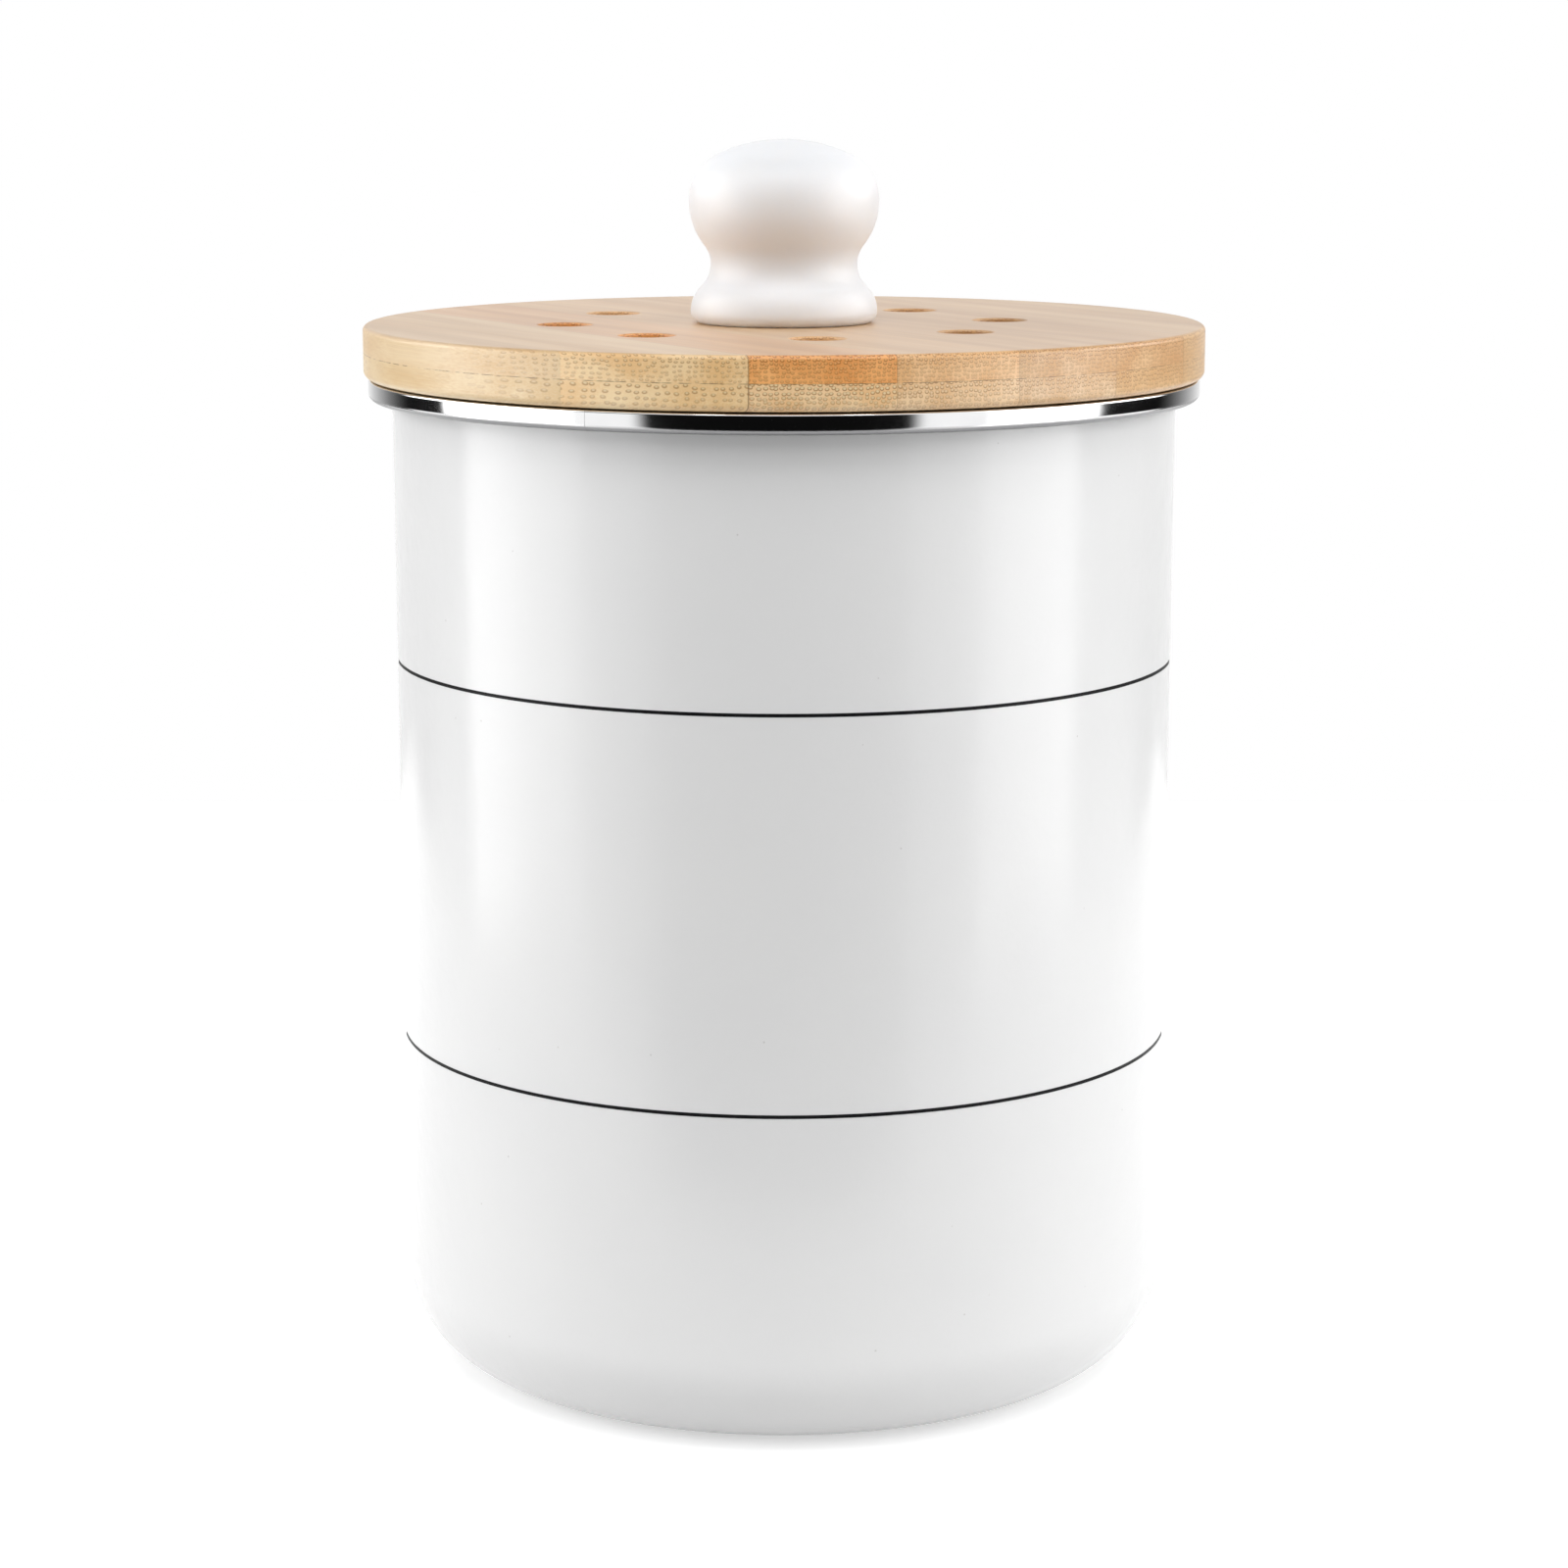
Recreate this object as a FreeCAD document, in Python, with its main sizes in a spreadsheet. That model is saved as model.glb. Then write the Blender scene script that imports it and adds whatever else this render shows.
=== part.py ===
import FreeCAD, Part
import math
import os

import Sketcher

# Compost caddy: an enamelled steel bucket with a stainless band round its lip, and a two-ply bamboo lid
# with vents, a ceramic knob, a plug with a silicone seal, and a filter tray pushed into the plug.
# The origin is the centre of the surface it stands on, +Z is up and the front faces -Y.
# Lengths are in millimetres and angles in degrees.

# Driving sizes
SIZES = {
    # Bucket
    "wall_radius_top": 79.3,
    "wall_taper": 0.5,
    "wall": 0.9,
    "base_fillet": 20.5,
    "foot_width": 8.3,
    "panel_slope": 4.0,
    "panel_rise": 1.2,
    "lip_height": 203.2,
    "lip_bend": 1.6,
    "lip_clearance": 0.2,
    # Stainless band
    "band_overhang": 4.8,
    "band_thickness": 0.5,
    "band_height": 4.0,
    "band_curl": 1.4,
    "band_round": 0.45,
    "band_toe_gap": 0.3,
    # Bamboo lid
    "lid_overhang": 0.9,
    "ply_thickness": 5.25,
    "lid_seat_gap": 0.3,
    "lid_top_round": 1.0,
    "lid_bottom_round": 1.6,
    "strip_count": 8,
    "board_trim": 13.0,
    "seam_offset": -0.2,
    "grain_angle": -59.0,
    "vent_radius": 5.5,
    "vent_inset": 4.5,
    "vent_count": 8,
    "vent_angle": 8.3,
    # Plug and seal
    "plug_clearance": 1.4,
    "plug_width": 20.0,
    "plug_height": 11.0,
    "plug_chamfer": 1.0,
    "groove_depth": 2.2,
    "groove_height": 4.0,
    "groove_level": 3.4,
    "seal_play": 0.2,
    "seal_proud": 0.3,
    "seal_wall_gap": 0.3,
    "seal_lip_thickness": 0.8,
    "seal_lip_rise": 0.4,
    # Filter tray and pad
    "tray_fit": 0.3,
    "tray_wall": 1.6,
    "tray_floor": 1.6,
    "tray_lip_width": 4.5,
    "tray_lip_round": 0.6,
    "tray_seat_gap": 0.3,
    "tray_headroom": 0.5,
    "slot_width": 4.0,
    "slot_hub_radius": 10.0,
    "slot_margin": 6.1,
    "slot_gap": 4.0,
    "slot_stagger": 1.0,
    "inner_slot_count": 8,
    "outer_slot_count": 16,
    "pad_thickness": 7.0,
    "pad_gap": 0.3,
    "pad_round": 1.5,
    # Knob
    "knob_height": 36.7,
    "knob_base_radius": 18.9,
    "knob_base_level": 2.3,
    "knob_neck_radius": 14.83,
    "knob_neck_level": 11.8,
    "knob_neck_curve": 6.0,
    "knob_head_radius": 19.23,
    "knob_shoulder_curve": 10.4,
    "knob_crown_rise": 1.83,
    # Knob fastening
    "insert_radius": 4.0,
    "insert_length": 14.0,
    "insert_glue_gap": 0.05,
    "insert_end_gap": 2.0,
    "screw_radius": 2.0,
    "screw_grip": 10.0,
    "screw_tip_chamfer": 0.5,
    "screw_hole_play": 0.2,
    "thread_play": 0.05,
    "screw_head_radius": 4.0,
    "screw_head_height": 2.6,
    "screw_head_round": 1.2,
    "screw_head_recess": 0.3,
    "drive_width": 1.0,
    "drive_span": 4.4,
    "drive_depth": 1.4,
    "washer_radius": 5.5,
    "washer_thickness": 0.8,
    "counterbore_play": 1.0,
}

doc = FreeCAD.newDocument("compost_caddy")
sheet = doc.addObject("Spreadsheet::Sheet", "Sizes")
for row, (alias, number) in enumerate(SIZES.items(), start=1):
    sheet.set(f"A{row}", alias)
    sheet.set(f"B{row}", str(number))
    sheet.setAlias(f"B{row}", alias)
doc.recompute()


class Size:
    """A size with its value and the expression on the sheet that gives it."""

    def __init__(self, value, text):
        self.value = value
        self.text = text

    def __add__(self, other):
        other = as_size(other)
        return Size(self.value + other.value, f"({self.text} + {other.text})")

    def __sub__(self, other):
        other = as_size(other)
        return Size(self.value - other.value, f"({self.text} - {other.text})")

    def __mul__(self, other):
        other = as_size(other)
        return Size(self.value * other.value, f"({self.text} * {other.text})")

    def __truediv__(self, other):
        other = as_size(other)
        return Size(self.value / other.value, f"({self.text} / {other.text})")


def as_size(number):
    """A bare number as a Size, and a Size as it is."""
    return number if isinstance(number, Size) else Size(float(number), repr(float(number)))


def size(alias):
    """The driving size of that name."""
    return Size(float(sheet.get(alias)), f"Sizes.{alias}")


ZERO = as_size(0)

# Which point of a sketch edge a constraint holds
START, END, CENTRE = range(1, 4)


def new_body(label):
    """An empty body whose label names the piece."""
    body = doc.addObject("PartDesign::Body", label)
    body.Label = label
    return body


def new_sketch(body, name, plane_role):
    """A sketch on one of the body's own origin planes."""
    sketch = body.newObject("Sketcher::SketchObject", name)
    plane = next(item for item in body.Origin.OriginFeatures if item.Role == plane_role)
    sketch.AttachmentSupport = [(plane, "")]
    sketch.MapMode = "FlatFace"
    return sketch


def bind(sketch, name, kind, *items):
    """Add a named constraint whose last item is the Size that drives it."""
    *places, length = items
    index = sketch.addConstraint(Sketcher.Constraint(kind, *places, length.value))
    sketch.renameConstraint(index, name)
    sketch.setExpression(f"Constraints.{name}", length.text)


def pin(sketch, name, point, kind, length):
    """Hold a sketch point at a distance from the sketch's origin, across (DistanceX) or up (DistanceY)."""
    origin = (-1, START)
    axis_at_zero = {"DistanceX": -2, "DistanceY": -1}
    if length is ZERO:
        sketch.addConstraint(Sketcher.Constraint("PointOnObject", *point, axis_at_zero[kind]))
    elif length.value < 0:
        bind(sketch, name, kind, *point, *origin, ZERO - length)
    else:
        bind(sketch, name, kind, *origin, *point, length)


class Bend:
    """A round stretch of an outline that ends at a corner, about a centre."""

    def __init__(self, end, centre, clockwise=False):
        self.end = end
        self.centre = centre
        self.clockwise = clockwise


def draw_outline(sketch, steps):
    """Draw a closed outline: a step is a corner, or a Bend that ends at one."""
    corners = [step.end if isinstance(step, Bend) else step for step in steps]
    points = [FreeCAD.Vector(across.value, up.value, 0) for across, up in corners]
    edges = []
    for number, step in enumerate(steps):
        start, end = points[number - 1], points[number]
        if not isinstance(step, Bend):
            edges.append((sketch.addGeometry(Part.LineSegment(start, end)), START, END))
            continue
        centre = FreeCAD.Vector(step.centre[0].value, step.centre[1].value, 0)
        circle = Part.Circle(centre, FreeCAD.Vector(0, 0, 1), centre.distanceToPoint(end))
        first, last = (end, start) if step.clockwise else (start, end)
        angles = [math.atan2(point.y - centre.y, point.x - centre.x) for point in (first, last)]
        edge = sketch.addGeometry(Part.ArcOfCircle(circle, *angles))
        edges.append((edge, END, START) if step.clockwise else (edge, START, END))
    for number, (edge, start_end, far_end) in enumerate(edges):
        before, _, before_end = edges[number - 1]
        sketch.addConstraint(Sketcher.Constraint("Coincident", before, before_end, edge, start_end))
        across, up = corners[number]
        pin(sketch, f"corner_{number}_across", (edge, far_end), "DistanceX", across)
        pin(sketch, f"corner_{number}_up", (edge, far_end), "DistanceY", up)
    for number, step in enumerate(steps):
        if isinstance(step, Bend):
            chord = points[number] - points[number - 1]
            kind, length = "DistanceX", step.centre[0]
            if abs(chord.x) > abs(chord.y):
                kind, length = "DistanceY", step.centre[1]
            pin(sketch, f"bend_{number}", (edges[number][0], CENTRE), kind, length)


def revolve(label, steps):
    """A body turned about Z from an outline of (radius, height) corners."""
    body = new_body(label)
    sketch = new_sketch(body, f"{label}_outline", "XZ_Plane")
    draw_outline(sketch, steps)
    turn = body.newObject("PartDesign::Revolution", f"{label}_turn")
    turn.Profile = sketch
    turn.ReferenceAxis = (sketch, ["V_Axis"])
    turn.Angle = 360
    sketch.Visibility = False
    doc.recompute()
    return body


def round_edge(body, name, corner, radius):
    """Round the circular edge that passes through the corner (radius, height)."""
    base = body.Tip
    across, up = corner[0].value, corner[1].value
    slack = 1e-4
    names = []
    for number, edge in enumerate(base.Shape.Edges, start=1):
        box = edge.BoundBox
        on_level = abs(box.ZMin - up) < slack and abs(box.ZMax - up) < slack
        if on_level and hasattr(edge.Curve, "Radius") and abs(edge.Curve.Radius - across) < slack:
            names.append(f"Edge{number}")
    fillet = body.newObject("PartDesign::Fillet", name)
    fillet.Base = (base, names)
    fillet.setExpression("Radius", radius.text)
    doc.recompute()


def cut_pattern(body, name, draw, count, turn=ZERO):
    """Cut a shape drawn on the XY plane right through, and repeat it round the axis."""
    before = body.Shape.Volume
    sketch = new_sketch(body, f"{name}_outline", "XY_Plane")
    draw(sketch)
    sketch.setExpression("AttachmentOffset.Rotation.Angle", turn.text)
    pocket = body.newObject("PartDesign::Pocket", f"{name}_cut")
    pocket.Profile = sketch
    pocket.Type = "ThroughAll"
    pocket.SideType = "Symmetric"
    sketch.Visibility = False
    doc.recompute()
    pattern = body.newObject("PartDesign::PolarPattern", f"{name}_pattern")
    pattern.Originals = [pocket]
    pattern.Axis = (sketch, ["N_Axis"])
    pattern.Angle = 360
    pattern.setExpression("Occurrences", count.text)
    body.Tip = pattern
    doc.recompute()
    if body.Shape.Volume >= before:
        raise RuntimeError(f"{name} cut nothing from {body.Label}")


def touching_curve(rise_across, rise_up, given_curve):
    """Radius of an arc that meets a given opposite arc smoothly, each upright at its own end."""
    both = (rise_across * rise_across + rise_up * rise_up) / (rise_across * 2)
    return both - given_curve


def between(first, second, share):
    """The point that lies that share of the way from the first point to the second."""
    return tuple(a + (b - a) * share for a, b in zip(first, second))


# Levels and radii that several pieces share
wall = size("wall")
wall_radius = size("wall_radius_top")
mouth_radius = wall_radius - wall
lip_height = size("lip_height")
lip_under = lip_height - wall
band_radius = wall_radius + size("band_overhang")
band_thickness = size("band_thickness")
band_top = lip_height + band_thickness
lid_under = band_top + size("lid_seat_gap")
ply_thickness = size("ply_thickness")
ply_joint = lid_under + ply_thickness
lid_top = ply_joint + ply_thickness
lid_radius = band_radius + size("lid_overhang")
board_half = lid_radius + size("board_trim")
strip_width = board_half * 2 / size("strip_count")
vent_circle_radius = strip_width * 2 - size("vent_inset")
plug_radius = mouth_radius - size("plug_clearance")
plug_bore_radius = plug_radius - size("plug_width")
plug_bottom = lid_under - size("plug_height")
tray_radius = plug_bore_radius - size("tray_fit")
tray_inner_radius = tray_radius - size("tray_wall")
tray_lip_top = plug_bottom - size("tray_seat_gap")
tray_bottom = tray_lip_top - size("tray_floor")
groove_radius = plug_radius - size("groove_depth")
groove_bottom = plug_bottom + size("groove_level")
groove_top = groove_bottom + size("groove_height")
screw_radius = size("screw_radius")
screw_hole_radius = screw_radius + size("screw_hole_play")
washer_thickness = size("washer_thickness")
counterbore_radius = size("washer_radius") + size("counterbore_play")
head_bottom = lid_under + size("screw_head_recess")
washer_bottom = head_bottom + size("screw_head_height")
counterbore_top = washer_bottom + washer_thickness
insert_hole_radius = size("insert_radius") + size("insert_glue_gap")


def make_bucket():
    """Drawn steel shell with a raised base panel, a round bottom corner and an outward lip."""
    base_radius = wall_radius - size("wall_taper")
    panel_radius = base_radius - size("base_fillet") - size("foot_width")
    panel_edge = panel_radius - size("panel_slope")
    panel_rise = size("panel_rise")
    lip_radius = band_radius - band_thickness - size("lip_clearance")
    outer_corner = (base_radius, ZERO)
    inner_corner = (base_radius - wall, wall)
    under_lip = (wall_radius, lip_under)
    mouth = (mouth_radius, lip_height)
    body = revolve("bucket", [
        (ZERO, panel_rise),
        (panel_edge, panel_rise),
        (panel_radius, ZERO),
        outer_corner,
        under_lip,
        (lip_radius, lip_under),
        (lip_radius, lip_height),
        mouth,
        inner_corner,
        (panel_radius, wall),
        (panel_edge, panel_rise + wall),
        (ZERO, panel_rise + wall),
    ])
    round_edge(body, "outer_base_round", outer_corner, size("base_fillet"))
    round_edge(body, "inner_base_round", inner_corner, size("base_fillet") - wall)
    round_edge(body, "under_lip_round", under_lip, size("lip_bend"))
    round_edge(body, "mouth_round", mouth, size("lip_bend") + wall)
    return body


def make_rim_band():
    """Rolled stainless band: a leg on the lip, an upright face and a curl back to the wall."""
    bottom = band_top - size("band_height")
    curl = size("band_curl")
    edge_round = size("band_round")
    leg_end = mouth_radius + size("lip_bend") + wall
    toe = wall_radius + size("band_toe_gap")
    curl_centre = (band_radius - curl, bottom + curl)
    round_centre = (band_radius - edge_round, band_top - edge_round)
    return revolve("rim_band", [
        (leg_end, band_top),
        (leg_end, lip_height),
        (band_radius - band_thickness, lip_height),
        (band_radius - band_thickness, bottom + curl),
        Bend((band_radius - curl, bottom + band_thickness), curl_centre, clockwise=True),
        (toe, bottom + band_thickness),
        (toe, bottom),
        (band_radius - curl, bottom),
        Bend((band_radius, bottom + curl), curl_centre),
        (band_radius, band_top - edge_round),
        Bend((band_radius - edge_round, band_top), round_centre),
    ])


def draw_vent(sketch):
    """One round vent on the vent circle."""
    vent_radius = size("vent_radius")
    place = FreeCAD.Vector(vent_circle_radius.value, 0, 0)
    circle = sketch.addGeometry(Part.Circle(place, FreeCAD.Vector(0, 0, 1), vent_radius.value))
    centre = (circle, CENTRE)
    pin(sketch, "vent_across", centre, "DistanceX", vent_circle_radius)
    pin(sketch, "vent_up", centre, "DistanceY", ZERO)
    bind(sketch, "vent_radius", "Radius", circle, vent_radius)


def make_plies():
    """The two whole plies, with their grain along X, before they are parted into strips."""
    top_round = size("lid_top_round")
    bottom_round = size("lid_bottom_round")
    upper = revolve("upper_ply", [
        (screw_hole_radius, ply_joint),
        (lid_radius, ply_joint),
        (lid_radius, lid_top - top_round),
        Bend((lid_radius - top_round, lid_top), (lid_radius - top_round, lid_top - top_round)),
        (screw_hole_radius, lid_top),
    ])
    lower = revolve("lower_ply", [
        (counterbore_radius, lid_under),
        (lid_radius - bottom_round, lid_under),
        Bend((lid_radius, lid_under + bottom_round),
             (lid_radius - bottom_round, lid_under + bottom_round)),
        (lid_radius, ply_joint),
        (screw_hole_radius, ply_joint),
        (screw_hole_radius, counterbore_top),
        (counterbore_radius, counterbore_top),
    ])
    vent_turn = size("vent_angle") - size("grain_angle")
    for ply in (upper, lower):
        cut_pattern(ply, f"{ply.Label}_vents", draw_vent, size("vent_count"), vent_turn)
    return upper, lower


def part_into_strips(ply, label, bottom):
    """Part a ply into the strips that it is glued up from, and turn them to the lid's grain.

    The lid is cut from a board that is wider by a trim on each side, so its outer strips are narrower.
    The strips are counted outwards from the seam nearest the middle. Each slab passes the ply above, below
    and at both ends, so that only its two long sides cut.
    """
    middle_seam = size("seam_offset")
    per_side = int(size("strip_count").value) // 2
    strips = []
    for number in range(1, per_side + 1):
        left = middle_seam - strip_width * number
        right = middle_seam + strip_width * (number - 1)
        for side, low in (("left", left), ("right", right)):
            slab = doc.addObject("Part::Box", f"{label}_{side}_slab_{number}")
            slab.setExpression("Length", (board_half * 2).text)
            slab.setExpression("Width", strip_width.text)
            slab.setExpression("Height", (ply_thickness * 3).text)
            slab.setExpression("Placement.Base.x", (ZERO - board_half).text)
            slab.setExpression("Placement.Base.y", low.text)
            slab.setExpression("Placement.Base.z", (bottom - ply_thickness).text)
            strip = doc.addObject("Part::Common", f"{label}_{side}_{number}")
            strip.Label = f"{label}_{side}_{number}"
            strip.Base = ply
            strip.Tool = slab
            strip.setExpression("Placement.Rotation.Angle", size("grain_angle").text)
            strips.append(strip)
    doc.recompute()
    return strips


def make_lid_plug():
    """Bamboo ring glued under the lid, with a groove for the seal."""
    chamfer = size("plug_chamfer")
    return revolve("lid_plug", [
        (plug_bore_radius, plug_bottom),
        (plug_radius - chamfer, plug_bottom),
        (plug_radius, plug_bottom + chamfer),
        (plug_radius, groove_bottom),
        (groove_radius, groove_bottom),
        (groove_radius, groove_top),
        (plug_radius, groove_top),
        (plug_radius, lid_under),
        (plug_bore_radius, lid_under),
    ])


def make_seal_ring():
    """Silicone ring in the groove, with two lips that point up and out to the wall."""
    play = size("seal_play")
    inner = groove_radius + play
    bottom = groove_bottom + play
    top = groove_top - play
    root = plug_radius + size("seal_proud")
    tip = mouth_radius - size("seal_wall_gap")
    lip = size("seal_lip_thickness")
    rise = size("seal_lip_rise")
    upper_root = top - lip - rise
    return revolve("seal_ring", [
        (inner, top),
        (inner, bottom),
        (root, bottom),
        (tip, bottom + rise),
        (tip, bottom + lip),
        (root, bottom + lip),
        (root, upper_root),
        (tip, upper_root + rise),
        (tip, upper_root + lip),
        (root, upper_root + lip),
        (root, top),
    ])


def slot_drawer(start, end):
    """A function that draws one radial slot with round ends, between two radii."""
    def draw(sketch):
        half = size("slot_width") / 2
        near, far = start + half, end - half
        below = ZERO - half
        draw_outline(sketch, [
            (far, below),
            Bend((far, half), (far, ZERO)),
            (near, half),
            Bend((near, below), (near, ZERO)),
        ])
    return draw


def make_filter_tray():
    """Moulded tray that pushes into the plug's bore, with a finger lip and a slotted floor."""
    lip_radius = tray_radius + size("tray_lip_width")
    top = lid_under - size("tray_headroom")
    body = revolve("filter_tray", [
        (ZERO, tray_bottom),
        (lip_radius, tray_bottom),
        (lip_radius, tray_lip_top),
        (tray_radius, tray_lip_top),
        (tray_radius, top),
        (tray_inner_radius, top),
        (tray_inner_radius, tray_lip_top),
        (ZERO, tray_lip_top),
    ])
    round_edge(body, "tray_lip_round", (lip_radius, tray_bottom), size("tray_lip_round"))
    inner_start = size("slot_hub_radius")
    outer_end = tray_inner_radius - size("slot_margin")
    slot_gap = size("slot_gap")
    inner_end = (inner_start + outer_end - slot_gap - size("slot_stagger")) / 2
    inner_slot = slot_drawer(inner_start, inner_end)
    outer_slot = slot_drawer(inner_end + slot_gap, outer_end)
    cut_pattern(body, "inner_slots", inner_slot, size("inner_slot_count"))
    cut_pattern(body, "outer_slots", outer_slot, size("outer_slot_count"))
    return body


def make_filter_pad():
    """Round carbon pad that lies in the tray."""
    radius = tray_inner_radius - size("pad_gap")
    bottom = tray_lip_top + size("pad_gap")
    top = bottom + size("pad_thickness")
    edge = size("pad_round")
    return revolve("filter_pad", [
        (ZERO, bottom),
        (radius - edge, bottom),
        Bend((radius, bottom + edge), (radius - edge, bottom + edge)),
        (radius, top - edge),
        Bend((radius - edge, top), (radius - edge, top - edge)),
        (ZERO, top),
    ])


def make_knob():
    """Turned ceramic knob: a rounded foot, a waist and a broad head, all smooth arcs."""
    height = lid_top + size("knob_height")
    base_radius = size("knob_base_radius")
    base_level = size("knob_base_level")
    base_height = lid_top + base_level
    neck_radius = size("knob_neck_radius")
    neck_height = lid_top + size("knob_neck_level")
    neck_curve = size("knob_neck_curve")
    head_radius = size("knob_head_radius")
    shoulder = size("knob_shoulder_curve")
    crown_rise = size("knob_crown_rise")
    head_height = height - crown_rise - shoulder
    foot_curve = touching_curve(base_radius - neck_radius, neck_height - base_height, neck_curve)
    cheek_curve = touching_curve(head_radius - neck_radius, head_height - neck_height, neck_curve)
    foot_centre = (base_radius - foot_curve, base_height)
    neck_centre = (neck_radius + neck_curve, neck_height)
    cheek_centre = (head_radius - cheek_curve, head_height)
    reach = head_radius - shoulder
    shoulder_centre = (reach, head_height)
    crown_curve = (reach * reach + crown_rise * crown_rise) / (crown_rise * 2) + shoulder
    crown_centre = (ZERO, height - crown_curve)
    foot_to_neck = between(foot_centre, neck_centre, foot_curve / (foot_curve + neck_curve))
    neck_to_cheek = between(neck_centre, cheek_centre, neck_curve / (neck_curve + cheek_curve))
    shoulder_to_crown = between(crown_centre, shoulder_centre, crown_curve / (crown_curve - shoulder))
    hole_top = lid_top + size("insert_length") + size("insert_end_gap")
    return revolve("knob", [
        (insert_hole_radius, lid_top),
        (base_radius - base_level, lid_top),
        Bend((base_radius, base_height), (base_radius - base_level, base_height)),
        Bend(foot_to_neck, foot_centre),
        Bend(neck_to_cheek, neck_centre, clockwise=True),
        Bend((head_radius, head_height), cheek_centre),
        Bend(shoulder_to_crown, shoulder_centre),
        Bend((ZERO, height), crown_centre),
        (ZERO, hole_top),
        (insert_hole_radius, hole_top),
    ])


def make_knob_insert():
    """Brass bush glued into the knob, threaded for the screw."""
    bore = screw_radius + size("thread_play")
    return revolve("knob_insert", [
        (bore, lid_top),
        (size("insert_radius"), lid_top),
        (size("insert_radius"), lid_top + size("insert_length")),
        (bore, lid_top + size("insert_length")),
    ])


def draw_drive(sketch):
    """A cross for the screwdriver."""
    narrow = size("drive_width") / 2
    wide = size("drive_span") / 2
    quarter = [(wide, narrow), (narrow, narrow), (narrow, wide)]
    left = [(ZERO - across, up) for across, up in reversed(quarter)]
    below = [(ZERO - across, ZERO - up) for across, up in quarter]
    right = [(across, ZERO - up) for across, up in reversed(quarter)]
    draw_outline(sketch, quarter + left + below + right)


def make_knob_screw():
    """Pan-head screw that goes up through the plies into the insert."""
    head_radius = size("screw_head_radius")
    head_round = size("screw_head_round")
    tip = lid_top + size("screw_grip")
    chamfer = size("screw_tip_chamfer")
    body = revolve("knob_screw", [
        (ZERO, head_bottom),
        (head_radius - head_round, head_bottom),
        Bend((head_radius, head_bottom + head_round),
             (head_radius - head_round, head_bottom + head_round)),
        (head_radius, washer_bottom),
        (screw_radius, washer_bottom),
        (screw_radius, tip - chamfer),
        (screw_radius - chamfer, tip),
        (ZERO, tip),
    ])
    before = body.Shape.Volume
    sketch = new_sketch(body, "drive_outline", "XY_Plane")
    draw_drive(sketch)
    sketch.setExpression("AttachmentOffset.Base.z", head_bottom.text)
    pocket = body.newObject("PartDesign::Pocket", "drive_cut")
    pocket.Profile = sketch
    pocket.Reversed = True
    pocket.setExpression("Length", size("drive_depth").text)
    sketch.Visibility = False
    doc.recompute()
    if body.Shape.Volume >= before:
        raise RuntimeError("the screw's drive cut nothing")
    return body


def make_knob_washer():
    """Flat washer between the screw's head and the counterbore."""
    return revolve("knob_washer", [
        (screw_hole_radius, washer_bottom),
        (size("washer_radius"), washer_bottom),
        (size("washer_radius"), counterbore_top),
        (screw_hole_radius, counterbore_top),
    ])


upper_ply, lower_ply = make_plies()
pieces = [
    make_bucket(),
    make_rim_band(),
    make_seal_ring(),
    *part_into_strips(upper_ply, "upper_strip", ply_joint),
    *part_into_strips(lower_ply, "lower_strip", lid_under),
    make_lid_plug(),
    make_knob(),
    make_knob_insert(),
    make_knob_screw(),
    make_knob_washer(),
    make_filter_tray(),
    make_filter_pad(),
]
doc.recompute()

for item in doc.Objects:
    if "Invalid" in item.State or "Error" in item.State:
        raise RuntimeError(f"{item.Label} failed: {item.State}")
for piece in pieces:
    if piece.Shape.isNull() or not piece.Shape.isValid():
        raise RuntimeError(f"{piece.Label} has no valid shape")

os.makedirs("parts", exist_ok=True)
for piece in pieces:
    piece.Shape.exportStep(f"parts/{piece.Label}.step")
    box = piece.Shape.optimalBoundingBox()
    print(f"{piece.Label}: {len(piece.Shape.Solids)} solid, {piece.Shape.Volume / 1000:.2f} cm3, "
          f"z {box.ZMin:.2f} to {box.ZMax:.2f}, x {box.XMin:.2f} to {box.XMax:.2f}")
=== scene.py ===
import math

import bmesh
import bpy
from mathutils import Euler, Matrix, noise


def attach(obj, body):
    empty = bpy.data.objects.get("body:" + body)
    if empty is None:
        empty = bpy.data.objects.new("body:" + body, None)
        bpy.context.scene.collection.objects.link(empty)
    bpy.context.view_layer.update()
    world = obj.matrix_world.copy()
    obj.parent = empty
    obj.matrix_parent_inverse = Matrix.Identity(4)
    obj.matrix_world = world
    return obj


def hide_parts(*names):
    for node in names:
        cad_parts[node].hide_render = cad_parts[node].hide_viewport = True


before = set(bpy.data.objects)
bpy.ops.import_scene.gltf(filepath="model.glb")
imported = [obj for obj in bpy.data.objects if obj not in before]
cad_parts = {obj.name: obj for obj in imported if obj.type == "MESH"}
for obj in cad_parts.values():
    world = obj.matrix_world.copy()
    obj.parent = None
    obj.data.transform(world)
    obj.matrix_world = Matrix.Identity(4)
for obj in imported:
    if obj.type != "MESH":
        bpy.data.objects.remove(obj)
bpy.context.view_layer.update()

# Compost caddy: a white enamelled bucket with a polished lip band, a bamboo lid with vents and a ceramic
# knob. Lengths are in millimetres, angles in degrees. They are turned into metres and radians where they are
# used. The front is at -Y.

MM = 0.001
FRONT_ANGLE = -90.0

# Bucket
WALL = 0.9
WALL_RADIUS = 79.3
BASE_RADIUS = 78.8
BASE_FILLET = 20.5
PANEL_RADIUS = 50.0
PANEL_EDGE = 46.0
PANEL_RISE = 1.2
PANEL_BEND = 1.2
PANEL_BEND_RISE = 0.25
LIP_HEIGHT = 203.2
LIP_RADIUS = 83.4
LIP_BEND = 1.6

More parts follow.
